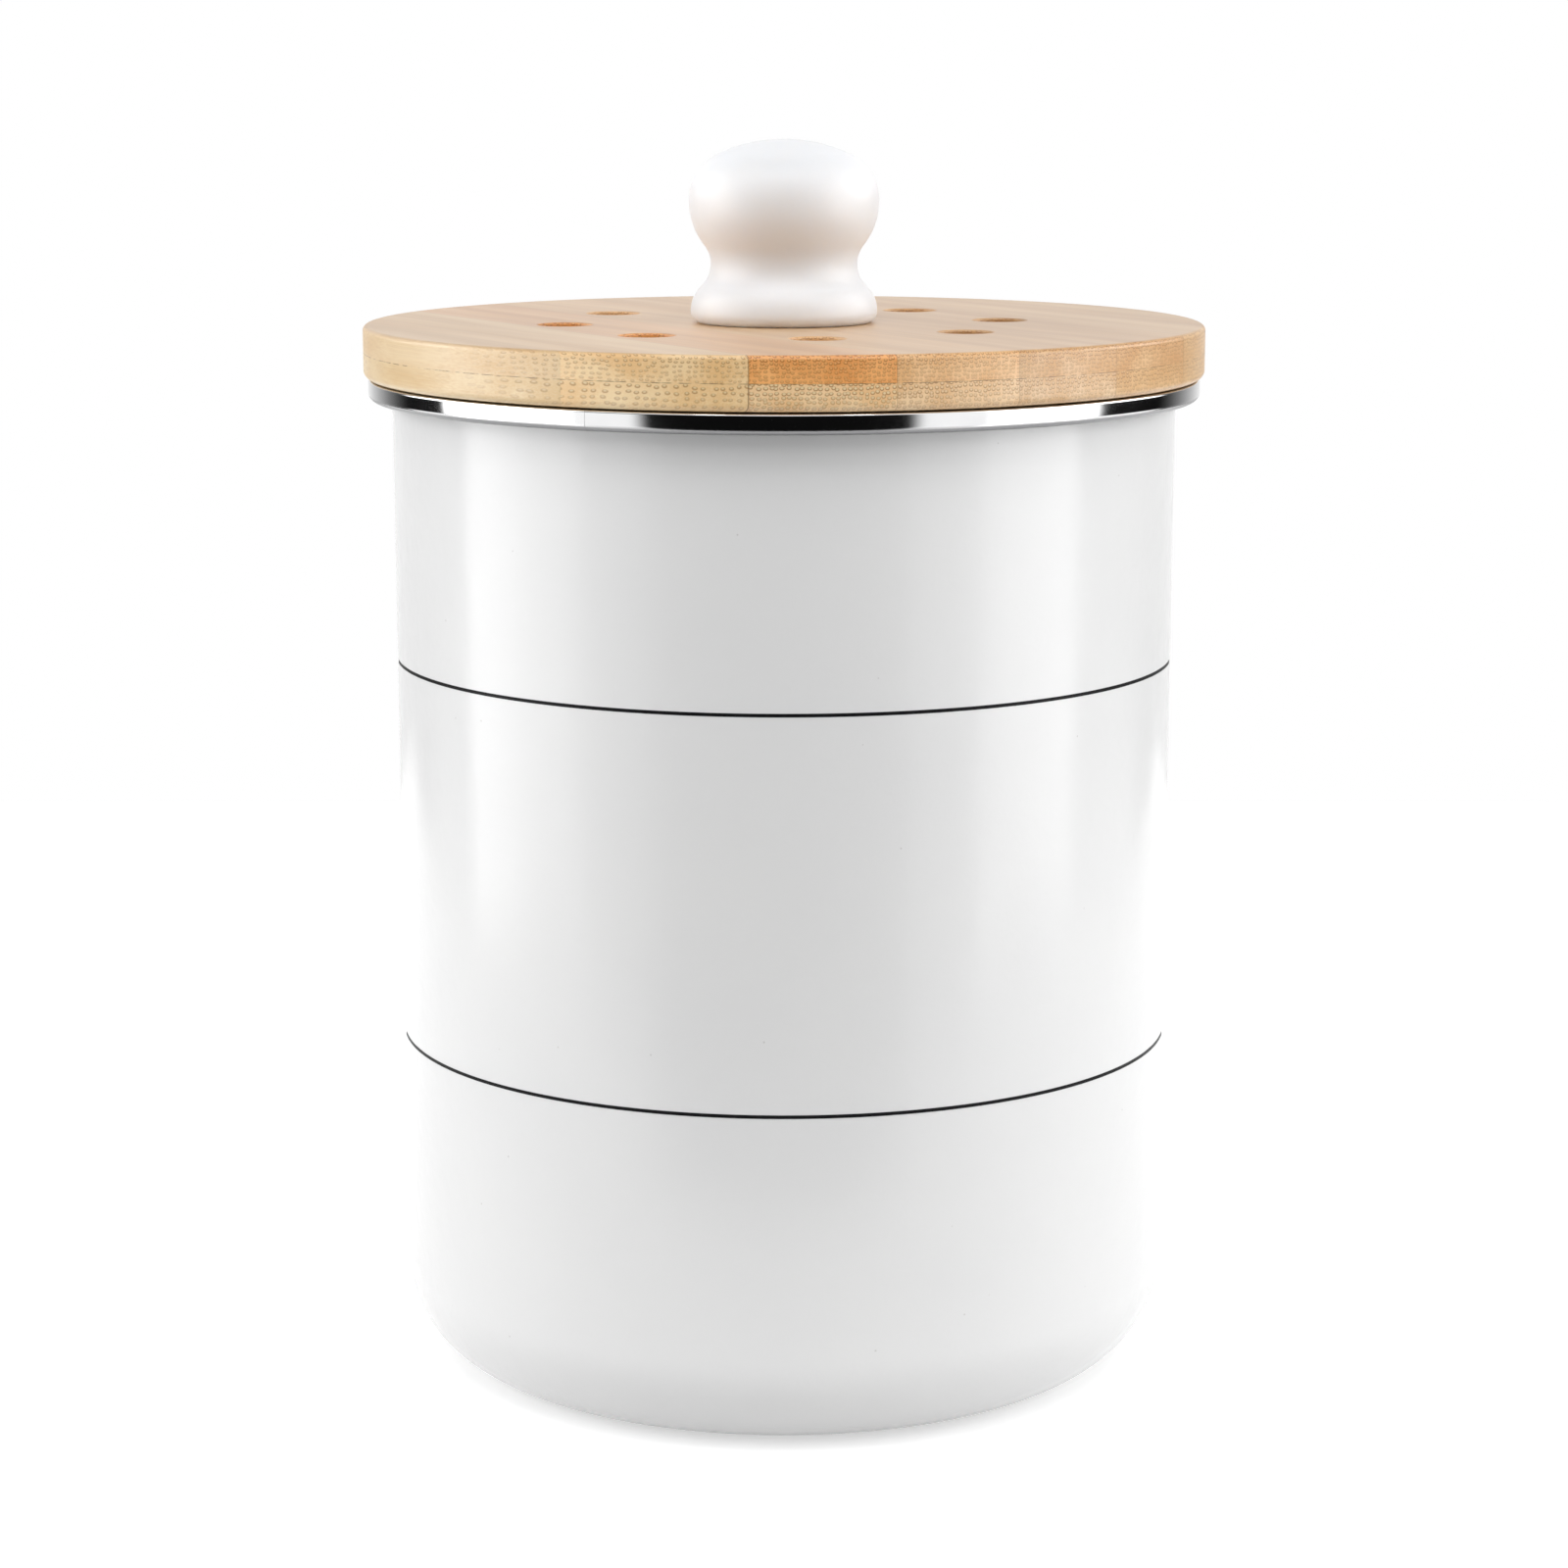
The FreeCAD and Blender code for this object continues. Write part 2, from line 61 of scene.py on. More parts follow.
# Band round the lip
BAND_RADIUS = 84.1
BAND_THICKNESS = 0.5
BAND_TOP = 203.7
BAND_HEIGHT = 4.0
BAND_CURL = 1.4
BAND_ROUND = 0.45
BAND_LEG = 80.9
BAND_TOE = 79.6
BAND_SEAM_ANGLE = -116.0
BAND_SEAM_GAP = 0.06

# Lid
LID_RADIUS = 85.0
LID_UNDER = 204.0
PLY_JOINT = 209.25
LID_TOP = 214.5
TOP_ROUND = 1.0
BOTTOM_ROUND = 1.6
SCREW_HOLE = 2.2
COUNTERBORE = 6.5
COUNTERBORE_TOP = 207.7
GRAIN_ANGLE = -59.0
STRIP_WIDTH = 24.5
MIDDLE_SEAM = -0.2
STRIPS_PER_SIDE = 4
VENT_RADIUS = 5.5
VENT_CIRCLE = 44.5
VENT_COUNT = 8
VENT_ANGLE = 8.3
VENT_ROUND = 0.45
PLUG_DEPTH = 11.0

# Knob
KNOB_HEIGHT = 36.7
KNOB_BASE_RADIUS = 18.9
KNOB_BASE_LEVEL = 2.3
KNOB_NECK_RADIUS = 14.83
KNOB_NECK_LEVEL = 11.8
KNOB_NECK_CURVE = 6.0
KNOB_HEAD_RADIUS = 19.23
KNOB_SHOULDER = 10.4
KNOB_CROWN_RISE = 1.83
KNOB_HOLE_RADIUS = 4.05
KNOB_HOLE_DEPTH = 16.0

# Printed lines
LINE_LEVELS = (147.06, 69.64)
LINE_WIDTH = 0.68
LINE_REACH = 80.0
LINE_PROUD = 0.03
LINE_SUNK = 0.1

# Filter pad
PAD_RADIUS = 54.7
PAD_BOTTOM = 193.1
PAD_TOP = 199.9
PAD_ROUND = 2.2
PAD_RINGS = 34
PAD_DENT = 0.3
PAD_BROAD_WAVES = 0.09
PAD_FINE_WAVES = 0.6

# How far a cutter passes the face that it cuts, and a slab the lid's edge
CUT_SPILL = 1.0
SLAB_SPILL = 5.0

# Segments round each turned piece
BUCKET_TURNS = 320
LINE_TURNS = 240
PLY_TURNS = 360
VENT_TURNS = 72
KNOB_TURNS = 160
PAD_TURNS = 200

# Edges that bend by more than this are sharp
SMOOTH_ANGLE = 24.0
# A point this near to the axis lies on it
ON_AXIS = 1e-6


# Meshes

def link(mesh, name):
    """An object of that name for a mesh, shaded smooth apart from its sharp edges."""
    mesh.shade_smooth()
    mesh.set_sharp_from_angle(angle=math.radians(SMOOTH_ANGLE))
    piece = bpy.data.objects.new(name, mesh)
    bpy.context.scene.collection.objects.link(piece)
    return piece


def arc(centre, radius, start, end, count=8):
    """Points in (radius, height) on an arc between two angles in degrees."""
    angles = [math.radians(start + (end - start) * step / count) for step in range(count + 1)]
    return [(centre[0] + radius * math.cos(a), centre[1] + radius * math.sin(a)) for a in angles]


def run(start, end, count):
    """Points that divide a straight run, without its start."""
    return [(start[0] + (end[0] - start[0]) * step / count, start[1] + (end[1] - start[1]) * step / count)
            for step in range(1, count + 1)]


def lathe(name, outline, turns, span=None, about=(0.0, 0.0)):
    """Turn an outline of (radius, height) points in millimetres round an upright axis.

    An outline that starts and ends on the axis gives a solid, and any other is closed into a ring.
    A span of two angles in degrees gives a part of a ring with capped ends.
    """
    build = bmesh.new()
    first, last = (0.0, 360.0) if span is None else span
    steps = turns if span is None else turns + 1
    angles = [math.radians(first + (last - first) * step / turns) for step in range(steps)]
    rings = []
    for radius, height in outline:
        if radius < ON_AXIS:
            rings.append([build.verts.new((about[0] * MM, about[1] * MM, height * MM))])
            continue
        ring = []
        for angle in angles:
            x, y = about[0] + radius * math.cos(angle), about[1] + radius * math.sin(angle)
            ring.append(build.verts.new((x * MM, y * MM, height * MM)))
        rings.append(ring)
    on_axis = len(rings[0]) == 1
    pairs = list(zip(rings, rings[1:])) + ([] if on_axis else [(rings[-1], rings[0])])
    for lower, upper in pairs:
        for step in range(turns):
            after = (step + 1) % steps
            corners = [lower[step % len(lower)], lower[after % len(lower)],
                       upper[after % len(upper)], upper[step % len(upper)]]
            unique = list(dict.fromkeys(corners))
            if len(unique) > 2:
                build.faces.new(unique)
    if span is not None:
        build.faces.new([ring[0] for ring in rings])
        build.faces.new([ring[-1] for ring in reversed(rings)])
    bmesh.ops.recalc_face_normals(build, faces=build.faces)
    mesh = bpy.data.meshes.new(name)
    build.to_mesh(mesh)
    build.free()
    return link(mesh, name)


def joined(name, pieces):
    """One mesh object from several, which are removed."""
    build = bmesh.new()
    for piece in pieces:
        build.from_mesh(piece.data)
        bpy.data.objects.remove(piece)
    mesh = bpy.data.meshes.new(name)
    build.to_mesh(mesh)
    build.free()
    return link(mesh, name)


def combine(name, base, tool, operation):
    """A new piece from two solids, which are left as they are."""
    copy = bpy.data.objects.new(f"{name}_work", base.data.copy())
    bpy.context.scene.collection.objects.link(copy)
    step = copy.modifiers.new("combine", "BOOLEAN")
    step.operation = operation
    step.solver = "EXACT"
    step.object = tool
    graph = bpy.context.evaluated_depsgraph_get()
    mesh = bpy.data.meshes.new_from_object(copy.evaluated_get(graph))
    mesh.name = name
    bpy.data.objects.remove(copy)
    return link(mesh, name)


def slab(name, low, high, bottom, top):
    """A long box between two distances across the grain, turned to the lid's grain."""
    reach = LID_RADIUS + SLAB_SPILL
    build = bmesh.new()
    bmesh.ops.create_cube(build, size=1.0)
    size = Matrix.Diagonal((2 * reach * MM, (high - low) * MM, (top - bottom) * MM, 1))
    place = Matrix.Translation((0, (low + high) / 2 * MM, (bottom + top) / 2 * MM))
    turn = Matrix.Rotation(math.radians(GRAIN_ANGLE), 4, "Z")
    build.transform(turn @ place @ size)
    mesh = bpy.data.meshes.new(name)
    build.to_mesh(mesh)
    build.free()
    return link(mesh, name)


# Node helpers

class Nodes:
    """A short way to add and join the nodes of one material or world."""

    def __init__(self, tree):
        self.tree = tree
        tree.nodes.clear()

    def add(self, kind, **settings):
        """A new node with its settings."""
        node = self.tree.nodes.new(kind)
        for key, value in settings.items():
            setattr(node, key, value)
        return node

    def join(self, source, target):
        self.tree.links.new(source, target)

    def feed(self, socket, value):
        """Join a value to a socket, or set the socket to it where it is a constant."""
        if isinstance(value, bpy.types.NodeSocket):
            self.join(value, socket)
        else:
            socket.default_value = value

    def math(self, operation, first, second=0.0):
        node = self.add("ShaderNodeMath", operation=operation)
        self.feed(node.inputs[0], first)
        self.feed(node.inputs[1], second)
        return node.outputs[0]

    def ramp(self, value, low, high, bottom=0.0, top=1.0):
        """Smooth step of a value from low to high, mapped to bottom and top."""
        node = self.add("ShaderNodeMapRange", interpolation_type="SMOOTHSTEP")
        for socket, item in zip(node.inputs, (value, low, high, bottom, top)):
            self.feed(socket, item)
        return node.outputs[0]

    def mix(self, share, first, second):
        """The first colour, with a share of the second."""
        node = self.add("ShaderNodeMix", data_type="RGBA")
        self.feed(node.inputs[0], share)
        self.feed(node.inputs[6], first)
        self.feed(node.inputs[7], second)
        return node.outputs[2]

    def scaled(self, vector, factors):
        node = self.add("ShaderNodeVectorMath", operation="MULTIPLY")
        self.join(vector, node.inputs[0])
        node.inputs[1].default_value = factors
        return node.outputs[0]

    def noise(self, vector, scale=1.0, detail=2.0, rough=0.5):
        node = self.add("ShaderNodeTexNoise", noise_dimensions="3D")
        self.join(vector, node.inputs["Vector"])
        node.inputs["Scale"].default_value = scale
        node.inputs["Detail"].default_value = detail
        node.inputs["Roughness"].default_value = rough
        return node.outputs["Fac"]

    def split(self, vector):
        node = self.add("ShaderNodeSeparateXYZ")
        self.join(vector, node.inputs[0])
        return node.outputs

    def unite(self, x, y, z):
        node = self.add("ShaderNodeCombineXYZ")
        for socket, item in zip(node.inputs, (x, y, z)):
            self.feed(socket, item)
        return node.outputs[0]

    def bump(self, height, strength, distance):
        node = self.add("ShaderNodeBump")
        node.inputs["Strength"].default_value = strength
        node.inputs["Distance"].default_value = distance
        self.join(height, node.inputs["Height"])
        return node.outputs[0]


def colour(red, green, blue):
    """A shader colour from the three levels of a screen colour, 0 to 255."""
    levels = [value / 255 for value in (red, green, blue)]
    return (*[v / 12.92 if v <= 0.04045 else ((v + 0.055) / 1.055) ** 2.4 for v in levels], 1.0)


def new_material(name):
    """An empty material, its nodes, its main shader and its coordinates in millimetres."""
    material = bpy.data.materials.new(name)
    material.use_nodes = True
    nodes = Nodes(material.node_tree)
    shader = nodes.add("ShaderNodeBsdfPrincipled")
    output = nodes.add("ShaderNodeOutputMaterial")
    nodes.join(shader.outputs[0], output.inputs[0])
    place = nodes.add("ShaderNodeTexCoord")
    at = nodes.scaled(place.outputs["Object"], (1000.0, 1000.0, 1000.0))
    return material, nodes, shader, at, place


def enamel_material():
    """White vitreous enamel: a faint waviness, a slight mottle and a few pin specks."""
    material, nodes, shader, at, _ = new_material("enamel_white")
    mottle = nodes.noise(at, 0.035, 3.0)
    tint = nodes.mix(mottle, (0.812, 0.813, 0.816, 1), (0.845, 0.845, 0.842, 1))
    specks = nodes.add("ShaderNodeTexVoronoi", feature="F1")
    nodes.join(at, specks.inputs["Vector"])
    specks.inputs["Scale"].default_value = 0.11
    pin = nodes.ramp(specks.outputs["Distance"], 0.015, 0.028, 1.0, 0.0)
    shade = nodes.mix(nodes.math("MULTIPLY", pin, 0.4), tint, (0.42, 0.40, 0.38, 1))
    nodes.join(shade, shader.inputs["Base Color"])
    nodes.join(nodes.ramp(nodes.noise(at, 0.12, 2.0), 0.3, 0.7, 0.15, 0.21), shader.inputs["Roughness"])
    fine_peel = nodes.math("MULTIPLY", nodes.noise(at, 0.9, 1.0), 0.25)
    peel = nodes.math("ADD", nodes.noise(at, 0.28, 1.0), fine_peel)
    nodes.join(nodes.bump(peel, 0.12, 0.0004), shader.inputs["Normal"])
    return material


def glaze_material():
    """White ceramic glaze, thick and slightly uneven."""
    material, nodes, shader, at, _ = new_material("glaze_white")
    tint = nodes.mix(nodes.noise(at, 0.09, 3.0), (0.80, 0.812, 0.84, 1), (0.845, 0.852, 0.865, 1))
    nodes.join(tint, shader.inputs["Base Color"])
    nodes.join(nodes.ramp(nodes.noise(at, 0.25, 2.0), 0.3, 0.7, 0.4, 0.5), shader.inputs["Roughness"])
    shader.inputs["Coat Weight"].default_value = 0.15
    shader.inputs["Coat Roughness"].default_value = 0.07
    shader.inputs["Subsurface Weight"].default_value = 0.6
    shader.inputs["Subsurface Radius"].default_value = (1.0, 0.95, 0.9)
    shader.inputs["Subsurface Scale"].default_value = 0.006
    nodes.join(nodes.bump(nodes.noise(at, 0.22, 2.0), 0.1, 0.0004), shader.inputs["Normal"])
    return material


# Shares of the band's curl, from below, where its duller edge with a painted dark reflection starts to fade
# and where the polish is whole
DULL_AND_PAINTED_DARK_SHARE = 0.45
POLISHED_SHARE = 0.95


def steel_material():
    """Polished stainless steel with fine polishing lines round the band, and a duller rolled edge with a
    painted dark reflection.
    """
    material, nodes, shader, at, _ = new_material("stainless_polished")
    _, _, z = nodes.split(at)
    lines = nodes.noise(nodes.unite(0.0, 0.0, z), 9.0, 4.0)
    patches = nodes.noise(at, 0.15, 3.0)
    tint = nodes.mix(patches, (0.80, 0.80, 0.81, 1), (0.90, 0.90, 0.90, 1))
    edge = BAND_TOP - BAND_HEIGHT
    # The curl's lower part: duller, and tinted nearly black as a painted dark reflection
    rolled = nodes.ramp(z, edge + DULL_AND_PAINTED_DARK_SHARE * BAND_CURL, edge + POLISHED_SHARE * BAND_CURL, 1.0, 0.0)
    tint = nodes.mix(nodes.math("MULTIPLY", rolled, 0.8), tint, (0.1, 0.1, 0.105, 1))
    nodes.join(tint, shader.inputs["Base Color"])
    shader.inputs["Metallic"].default_value = 1.0
    uneven = nodes.math("ADD", nodes.math("MULTIPLY", lines, 0.05), nodes.math("MULTIPLY", patches, 0.06))
    dull = nodes.math("ADD", nodes.math("MULTIPLY", rolled, 0.2), 0.03)
    nodes.join(nodes.math("ADD", uneven, dull), shader.inputs["Roughness"])
    nodes.join(nodes.bump(lines, 0.05, 0.00005), shader.inputs["Normal"])
    return material


# Share of a strip's dark colour in the skin of its bundles, for red, green and blue
BUNDLE_SHADE = (0.5, 0.33, 0.18)
# How far the bundles stray, their height as a share of their width, and their disorder
BUNDLE_SWAY = 0.7
BUNDLE_FLATNESS = 0.9
BUNDLE_DISORDER = 0.5
# Colours of wood cut along the grain and of the glue
LONG_CUT_DARK = colour(184, 147, 108)
LONG_CUT_LIGHT = colour(210, 177, 140)
GLUE_BROWN = colour(122, 78, 40)
# Glue lines of a piece that has none, outside the lid and without strength
NO_SEAMS = (0.0, 0.0)
FAR_EDGES = (-200.0, 200.0)


def bamboo_material(name, light, dark, bottom, pitch, swell, dots, seams=NO_SEAMS, edges=FAR_EDGES):
    """Bamboo with its fibre bundles along the grain, dots on an end cut and streaks on a long one.

    light and dark are the strip's colours, bottom the level of its ply, pitch the bundles' spacing, swell
    their radius as a share of it and dots their strength. seams are the strengths of the dark glue lines at
    edges, which are the strip's low and high sides across the grain.
    """
    material, nodes, shader, at, place = new_material(name)
    turn = nodes.add("ShaderNodeMapping", vector_type="POINT")
    turn.inputs["Rotation"].default_value = (0.0, 0.0, -math.radians(GRAIN_ANGLE))
    nodes.join(at, turn.inputs["Vector"])
    grain = turn.outputs[0]
    _, across, up = nodes.split(grain)
    height = nodes.ramp(up, bottom, bottom + (LID_TOP - PLY_JOINT))

    # How far the surface is cut across the grain
    facing = nodes.add("ShaderNodeVectorMath", operation="DOT_PRODUCT")
    nodes.join(place.outputs["Normal"], facing.inputs[0])
    lie = math.radians(GRAIN_ANGLE)
    facing.inputs[1].default_value = (math.cos(lie), math.sin(lie), 0.0)
    end_cut = nodes.ramp(nodes.math("ABSOLUTE", facing.outputs["Value"]), 0.12, 0.55)

    # Bundles
    drift = nodes.noise(nodes.scaled(grain, (0.03, 0.25, 0.25)), 1.0, 2.0)
    sway = nodes.math("MULTIPLY", nodes.math("SUBTRACT", drift, 0.5), BUNDLE_SWAY)
    side = nodes.math("DIVIDE", nodes.math("ADD", across, sway), pitch)
    level = nodes.math("DIVIDE", nodes.math("SUBTRACT", up, sway), pitch * BUNDLE_FLATNESS)
    masks = []
    # The first mask is a bundle's dark skin; the second, a tenth of a bundle lower, is a painted pore
    # highlight
    for shift, low, high in ((0.0, swell - 0.04, swell + 0.1), (-0.1, swell - 0.17, swell - 0.03)):
        cells = nodes.add("ShaderNodeTexVoronoi", voronoi_dimensions="2D", feature="F1")
        nodes.join(nodes.unite(side, nodes.math("ADD", level, shift), 0.0), cells.inputs["Vector"])
        cells.inputs["Scale"].default_value = 1.0
        cells.inputs["Randomness"].default_value = BUNDLE_DISORDER
        masks.append(nodes.ramp(cells.outputs["Distance"], low, high, 1.0, 0.0))
    ring, painted_pore_highlight = masks
    rich = nodes.ramp(height, 0.05, 0.95, 0.55, 1.0)
    shown = nodes.math("MULTIPLY", rich, nodes.ramp(end_cut, 0.0, 1.0, 0.1, dots))

    # Colour of the wood between the bundles
    fibres = nodes.noise(nodes.scaled(grain, (0.05, 3.2, 3.2)), 1.0, 4.0, 0.6)
    broad = nodes.noise(nodes.scaled(grain, (0.012, 0.16, 0.16)), 1.0, 2.0)
    tone = nodes.math("ADD", nodes.math("MULTIPLY", fibres, 0.4), nodes.math("MULTIPLY", broad, 0.6))
    wood = nodes.mix(nodes.ramp(tone, 0.35, 0.68), dark, light)
    skin = nodes.math("MULTIPLY", nodes.ramp(height, 0.55, 1.0), nodes.math("MULTIPLY", end_cut, 0.35))
    wood = nodes.mix(skin, wood, dark)

    # A long cut is greyer. The stronger grey on faces that look up, most of all the lid's top, is a painted
    # sheen of the coat's reflection
    long_cut = nodes.mix(nodes.ramp(tone, 0.33, 0.7), LONG_CUT_DARK, LONG_CUT_LIGHT)
    _, _, facing_up = nodes.split(place.outputs["Normal"])
    long_cut_and_painted_sheen = nodes.ramp(facing_up, 0.3, 0.9, 0.2, 0.75)
    wood = nodes.mix(nodes.math("MULTIPLY", nodes.math("SUBTRACT", 1.0, end_cut), long_cut_and_painted_sheen), wood, long_cut)

    # Dark skins of the bundles, their own colour, and a painted highlight in each pore, set low so that a
    # dark crescent of skin stays above it
    brown = tuple(share * value for share, value in zip(BUNDLE_SHADE, dark[:3])) + (1.0,)
    painted_highlight_tone = tuple(min(0.95, 1.06 * value) for value in light[:3]) + (1.0,)
    wood = nodes.mix(nodes.math("MULTIPLY", ring, nodes.math("MULTIPLY", shown, 0.85)), wood, brown)
    wood = nodes.mix(nodes.math("MULTIPLY", painted_pore_highlight, nodes.math("MULTIPLY", shown, 0.75)), wood, painted_highlight_tone)

    # Glue lines at the strip's edges and between the plies
    broken = nodes.ramp(nodes.noise(grain, 0.5, 2.0), 0.35, 0.6)
    from_joint = nodes.math("ABSOLUTE", nodes.math("SUBTRACT", up, PLY_JOINT))
    glue = nodes.math("MULTIPLY", nodes.ramp(from_joint, 0.04, 0.12, 0.75, 0.0), broken)
    for edge, strength in zip(edges, seams):
        near = nodes.math("ABSOLUTE", nodes.math("SUBTRACT", across, edge))
        glue = nodes.math("MAXIMUM", glue, nodes.ramp(near, 0.05, 0.16, strength, 0.0))
    wood = nodes.mix(glue, wood, GLUE_BROWN)
    nodes.join(wood, shader.inputs["Base Color"])

    nodes.join(nodes.ramp(fibres, 0.3, 0.7, 0.36, 0.48), shader.inputs["Roughness"])
    shader.inputs["Coat Weight"].default_value = 0.5
    shader.inputs["Coat Roughness"].default_value = 0.3
    relief = nodes.math("SUBTRACT", nodes.math("MULTIPLY", fibres, 0.35),
                        nodes.math("MULTIPLY", ring, nodes.math("MULTIPLY", shown, 0.2)))
    nodes.join(nodes.bump(relief, 0.3, 0.00012), shader.inputs["Normal"])
    return material


def ink_material():
    """Black fired print, slightly uneven at a small scale."""
    material, nodes, shader, at, _ = new_material("ink_black")
    tint = nodes.mix(nodes.noise(at, 0.8, 3.0), (0.004, 0.004, 0.005, 1), (0.012, 0.012, 0.012, 1))
    nodes.join(tint, shader.inputs["Base Color"])
    nodes.join(nodes.ramp(nodes.noise(at, 1.4, 2.0), 0.3, 0.7, 0.3, 0.42), shader.inputs["Roughness"])
    shader.inputs["Specular IOR Level"].default_value = 0.08
    return material


def felt_material():
    """Black carbon felt: matted fibres with a dusty sheen."""
    material, nodes, shader, at, _ = new_material("carbon_felt")
    fibres = nodes.noise(nodes.scaled(at, (1.0, 1.0, 3.0)), 1.6, 6.0, 0.7)
    clumps = nodes.noise(at, 0.2, 3.0)
    tint = nodes.mix(nodes.ramp(fibres, 0.35, 0.75), (0.008, 0.008, 0.009, 1), (0.06, 0.06, 0.062, 1))
    nodes.join(tint, shader.inputs["Base Color"])
    shader.inputs["Roughness"].default_value = 0.95
    shader.inputs["Sheen Weight"].default_value = 0.3
    shader.inputs["Sheen Roughness"].default_value = 0.6
    relief = nodes.math("ADD", fibres, clumps)
    nodes.join(nodes.bump(relief, 0.7, 0.0006), shader.inputs["Normal"])
    return material


def silicone_material():
    """Translucent white silicone with a fine moulded matt."""
    material, nodes, shader, at, _ = new_material("silicone_white")
    tint = nodes.mix(nodes.noise(at, 0.08, 3.0), (0.74, 0.745, 0.73, 1), (0.83, 0.83, 0.815, 1))
    nodes.join(tint, shader.inputs["Base Color"])
    nodes.join(nodes.ramp(nodes.noise(at, 0.7, 2.0), 0.3, 0.7, 0.36, 0.5), shader.inputs["Roughness"])
    shader.inputs["Subsurface Weight"].default_value = 0.25
    shader.inputs["Subsurface Radius"].default_value = (1.0, 1.0, 0.9)
    shader.inputs["Subsurface Scale"].default_value = 0.002
    nodes.join(nodes.bump(nodes.noise(at, 2.5, 3.0), 0.15, 0.0001), shader.inputs["Normal"])
    return material


def plastic_material():
    """Pale grey moulded plastic with a spark-eroded grain."""
    material, nodes, shader, at, _ = new_material("tray_plastic")
    tint = nodes.mix(nodes.noise(at, 0.06, 3.0), (0.60, 0.605, 0.60, 1), (0.68, 0.68, 0.672, 1))
    nodes.join(tint, shader.inputs["Base Color"])
    nodes.join(nodes.ramp(nodes.noise(at, 1.1, 2.0), 0.3, 0.7, 0.42, 0.55), shader.inputs["Roughness"])
    nodes.join(nodes.bump(nodes.noise(at, 3.0, 4.0), 0.3, 0.0001), shader.inputs["Normal"])
    return material


def turned_metal_material(name, low, high, rough):
    """Turned metal with fine rings from the lathe."""
    material, nodes, shader, at, _ = new_material(name)
    x, y, z = nodes.split(at)
    squares = nodes.math("ADD", nodes.math("MULTIPLY", x, x), nodes.math("MULTIPLY", y, y))
    radius = nodes.math("SQRT", squares)
    rings = nodes.noise(nodes.unite(radius, 0.0, z), 6.0, 3.0)
    nodes.join(nodes.mix(nodes.noise(at, 0.5, 3.0), low, high), shader.inputs["Base Color"])
    shader.inputs["Metallic"].default_value = 1.0
    nodes.join(nodes.ramp(rings, 0.3, 0.7, rough, rough + 0.15), shader.inputs["Roughness"])
    nodes.join(nodes.bump(rings, 0.25, 0.00008), shader.inputs["Normal"])
    return material


def dress(piece, material):
    """Give an object one material in all its slots."""
    piece.data.materials.clear()
    piece.data.materials.append(material)


def settle(piece, material, body, slot, *nodes):
    """Dress a piece, let it ride on a body, and let it stand for CAD nodes."""
    dress(piece, material)
    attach(piece, body)
    if nodes:
        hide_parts(*nodes)


# Bucket and band

enamel = enamel_material()
steel = steel_material()


def bucket_outline():
    """The shell's outline from the base's centre, up outside, over the lip and down inside."""
    corner = BASE_RADIUS - BASE_FILLET
    lip_under = LIP_HEIGHT - WALL
    bend_out = WALL_RADIUS + LIP_BEND
    inner_fillet = BASE_FILLET - WALL
    outline = [(0, PANEL_RISE)] + run((0, PANEL_RISE), (PANEL_EDGE, PANEL_RISE), 6)
    outline += [(PANEL_RADIUS - PANEL_BEND, PANEL_BEND_RISE), (PANEL_RADIUS, 0)]
    outline += arc((corner, BASE_FILLET), BASE_FILLET, -90, 0, 24)
    outline += run((BASE_RADIUS, BASE_FILLET), (WALL_RADIUS, lip_under - LIP_BEND), 12)
    outline += arc((bend_out, lip_under - LIP_BEND), LIP_BEND, 180, 90, 8)[1:]
    outline += [(LIP_RADIUS, lip_under), (LIP_RADIUS, LIP_HEIGHT)]
    outline += arc((bend_out, lip_under - LIP_BEND), LIP_BEND + WALL, 90, 180, 10)
    outline += run((WALL_RADIUS - WALL, lip_under - LIP_BEND), (BASE_RADIUS - WALL, BASE_FILLET), 12)
    outline += arc((corner, BASE_FILLET), inner_fillet, 0, -90, 24)[1:]
    outline += [(PANEL_RADIUS, WALL), (PANEL_EDGE, PANEL_RISE + WALL)]
    outline += run((PANEL_EDGE, PANEL_RISE + WALL), (0, PANEL_RISE + WALL), 6)
    return outline


def band_outline():
    """The rolled band's section: a leg on the lip, an upright face and a curl back to the wall."""
    bottom = BAND_TOP - BAND_HEIGHT
    curl = (BAND_RADIUS - BAND_CURL, bottom + BAND_CURL)
    shoulder = (BAND_RADIUS - BAND_ROUND, BAND_TOP - BAND_ROUND)
    outline = [(BAND_LEG, BAND_TOP), (BAND_LEG, LIP_HEIGHT), (BAND_RADIUS - BAND_THICKNESS, LIP_HEIGHT)]
    outline += arc(curl, BAND_CURL - BAND_THICKNESS, 0, -90, 12)
    outline += [(BAND_TOE, bottom + BAND_THICKNESS), (BAND_TOE, bottom)]
    outline += arc(curl, BAND_CURL, -90, 0, 16)
    outline += arc(shoulder, BAND_ROUND, 0, 90, 6)
    return outline


bucket = lathe("bucket_shell", bucket_outline(), BUCKET_TURNS)
settle(bucket, enamel, "bin", "enamel", "bucket")

seam_half = math.degrees(BAND_SEAM_GAP / BAND_RADIUS) / 2
band = lathe("lip_band", band_outline(), BUCKET_TURNS,
             (BAND_SEAM_ANGLE + seam_half, BAND_SEAM_ANGLE + 360 - seam_half))
settle(band, steel, "bin", "stainless", "rim_band")

ink = ink_material()
for number, level in enumerate(LINE_LEVELS, start=1):
    wall = WALL_RADIUS - (WALL_RADIUS - BASE_RADIUS) * (1 - level / LIP_HEIGHT)
    low, high = level - LINE_WIDTH / 2, level + LINE_WIDTH / 2
    inner, outer = wall - LINE_SUNK, wall + LINE_PROUD
    section = [(inner, low), (outer, low), (outer, high), (inner, high)]
    ends = (FRONT_ANGLE - LINE_REACH, FRONT_ANGLE + LINE_REACH)
    line = lathe(f"printed_line_{number}", section, LINE_TURNS, ends)
    settle(line, ink, "bin", "enamel")


# Lid

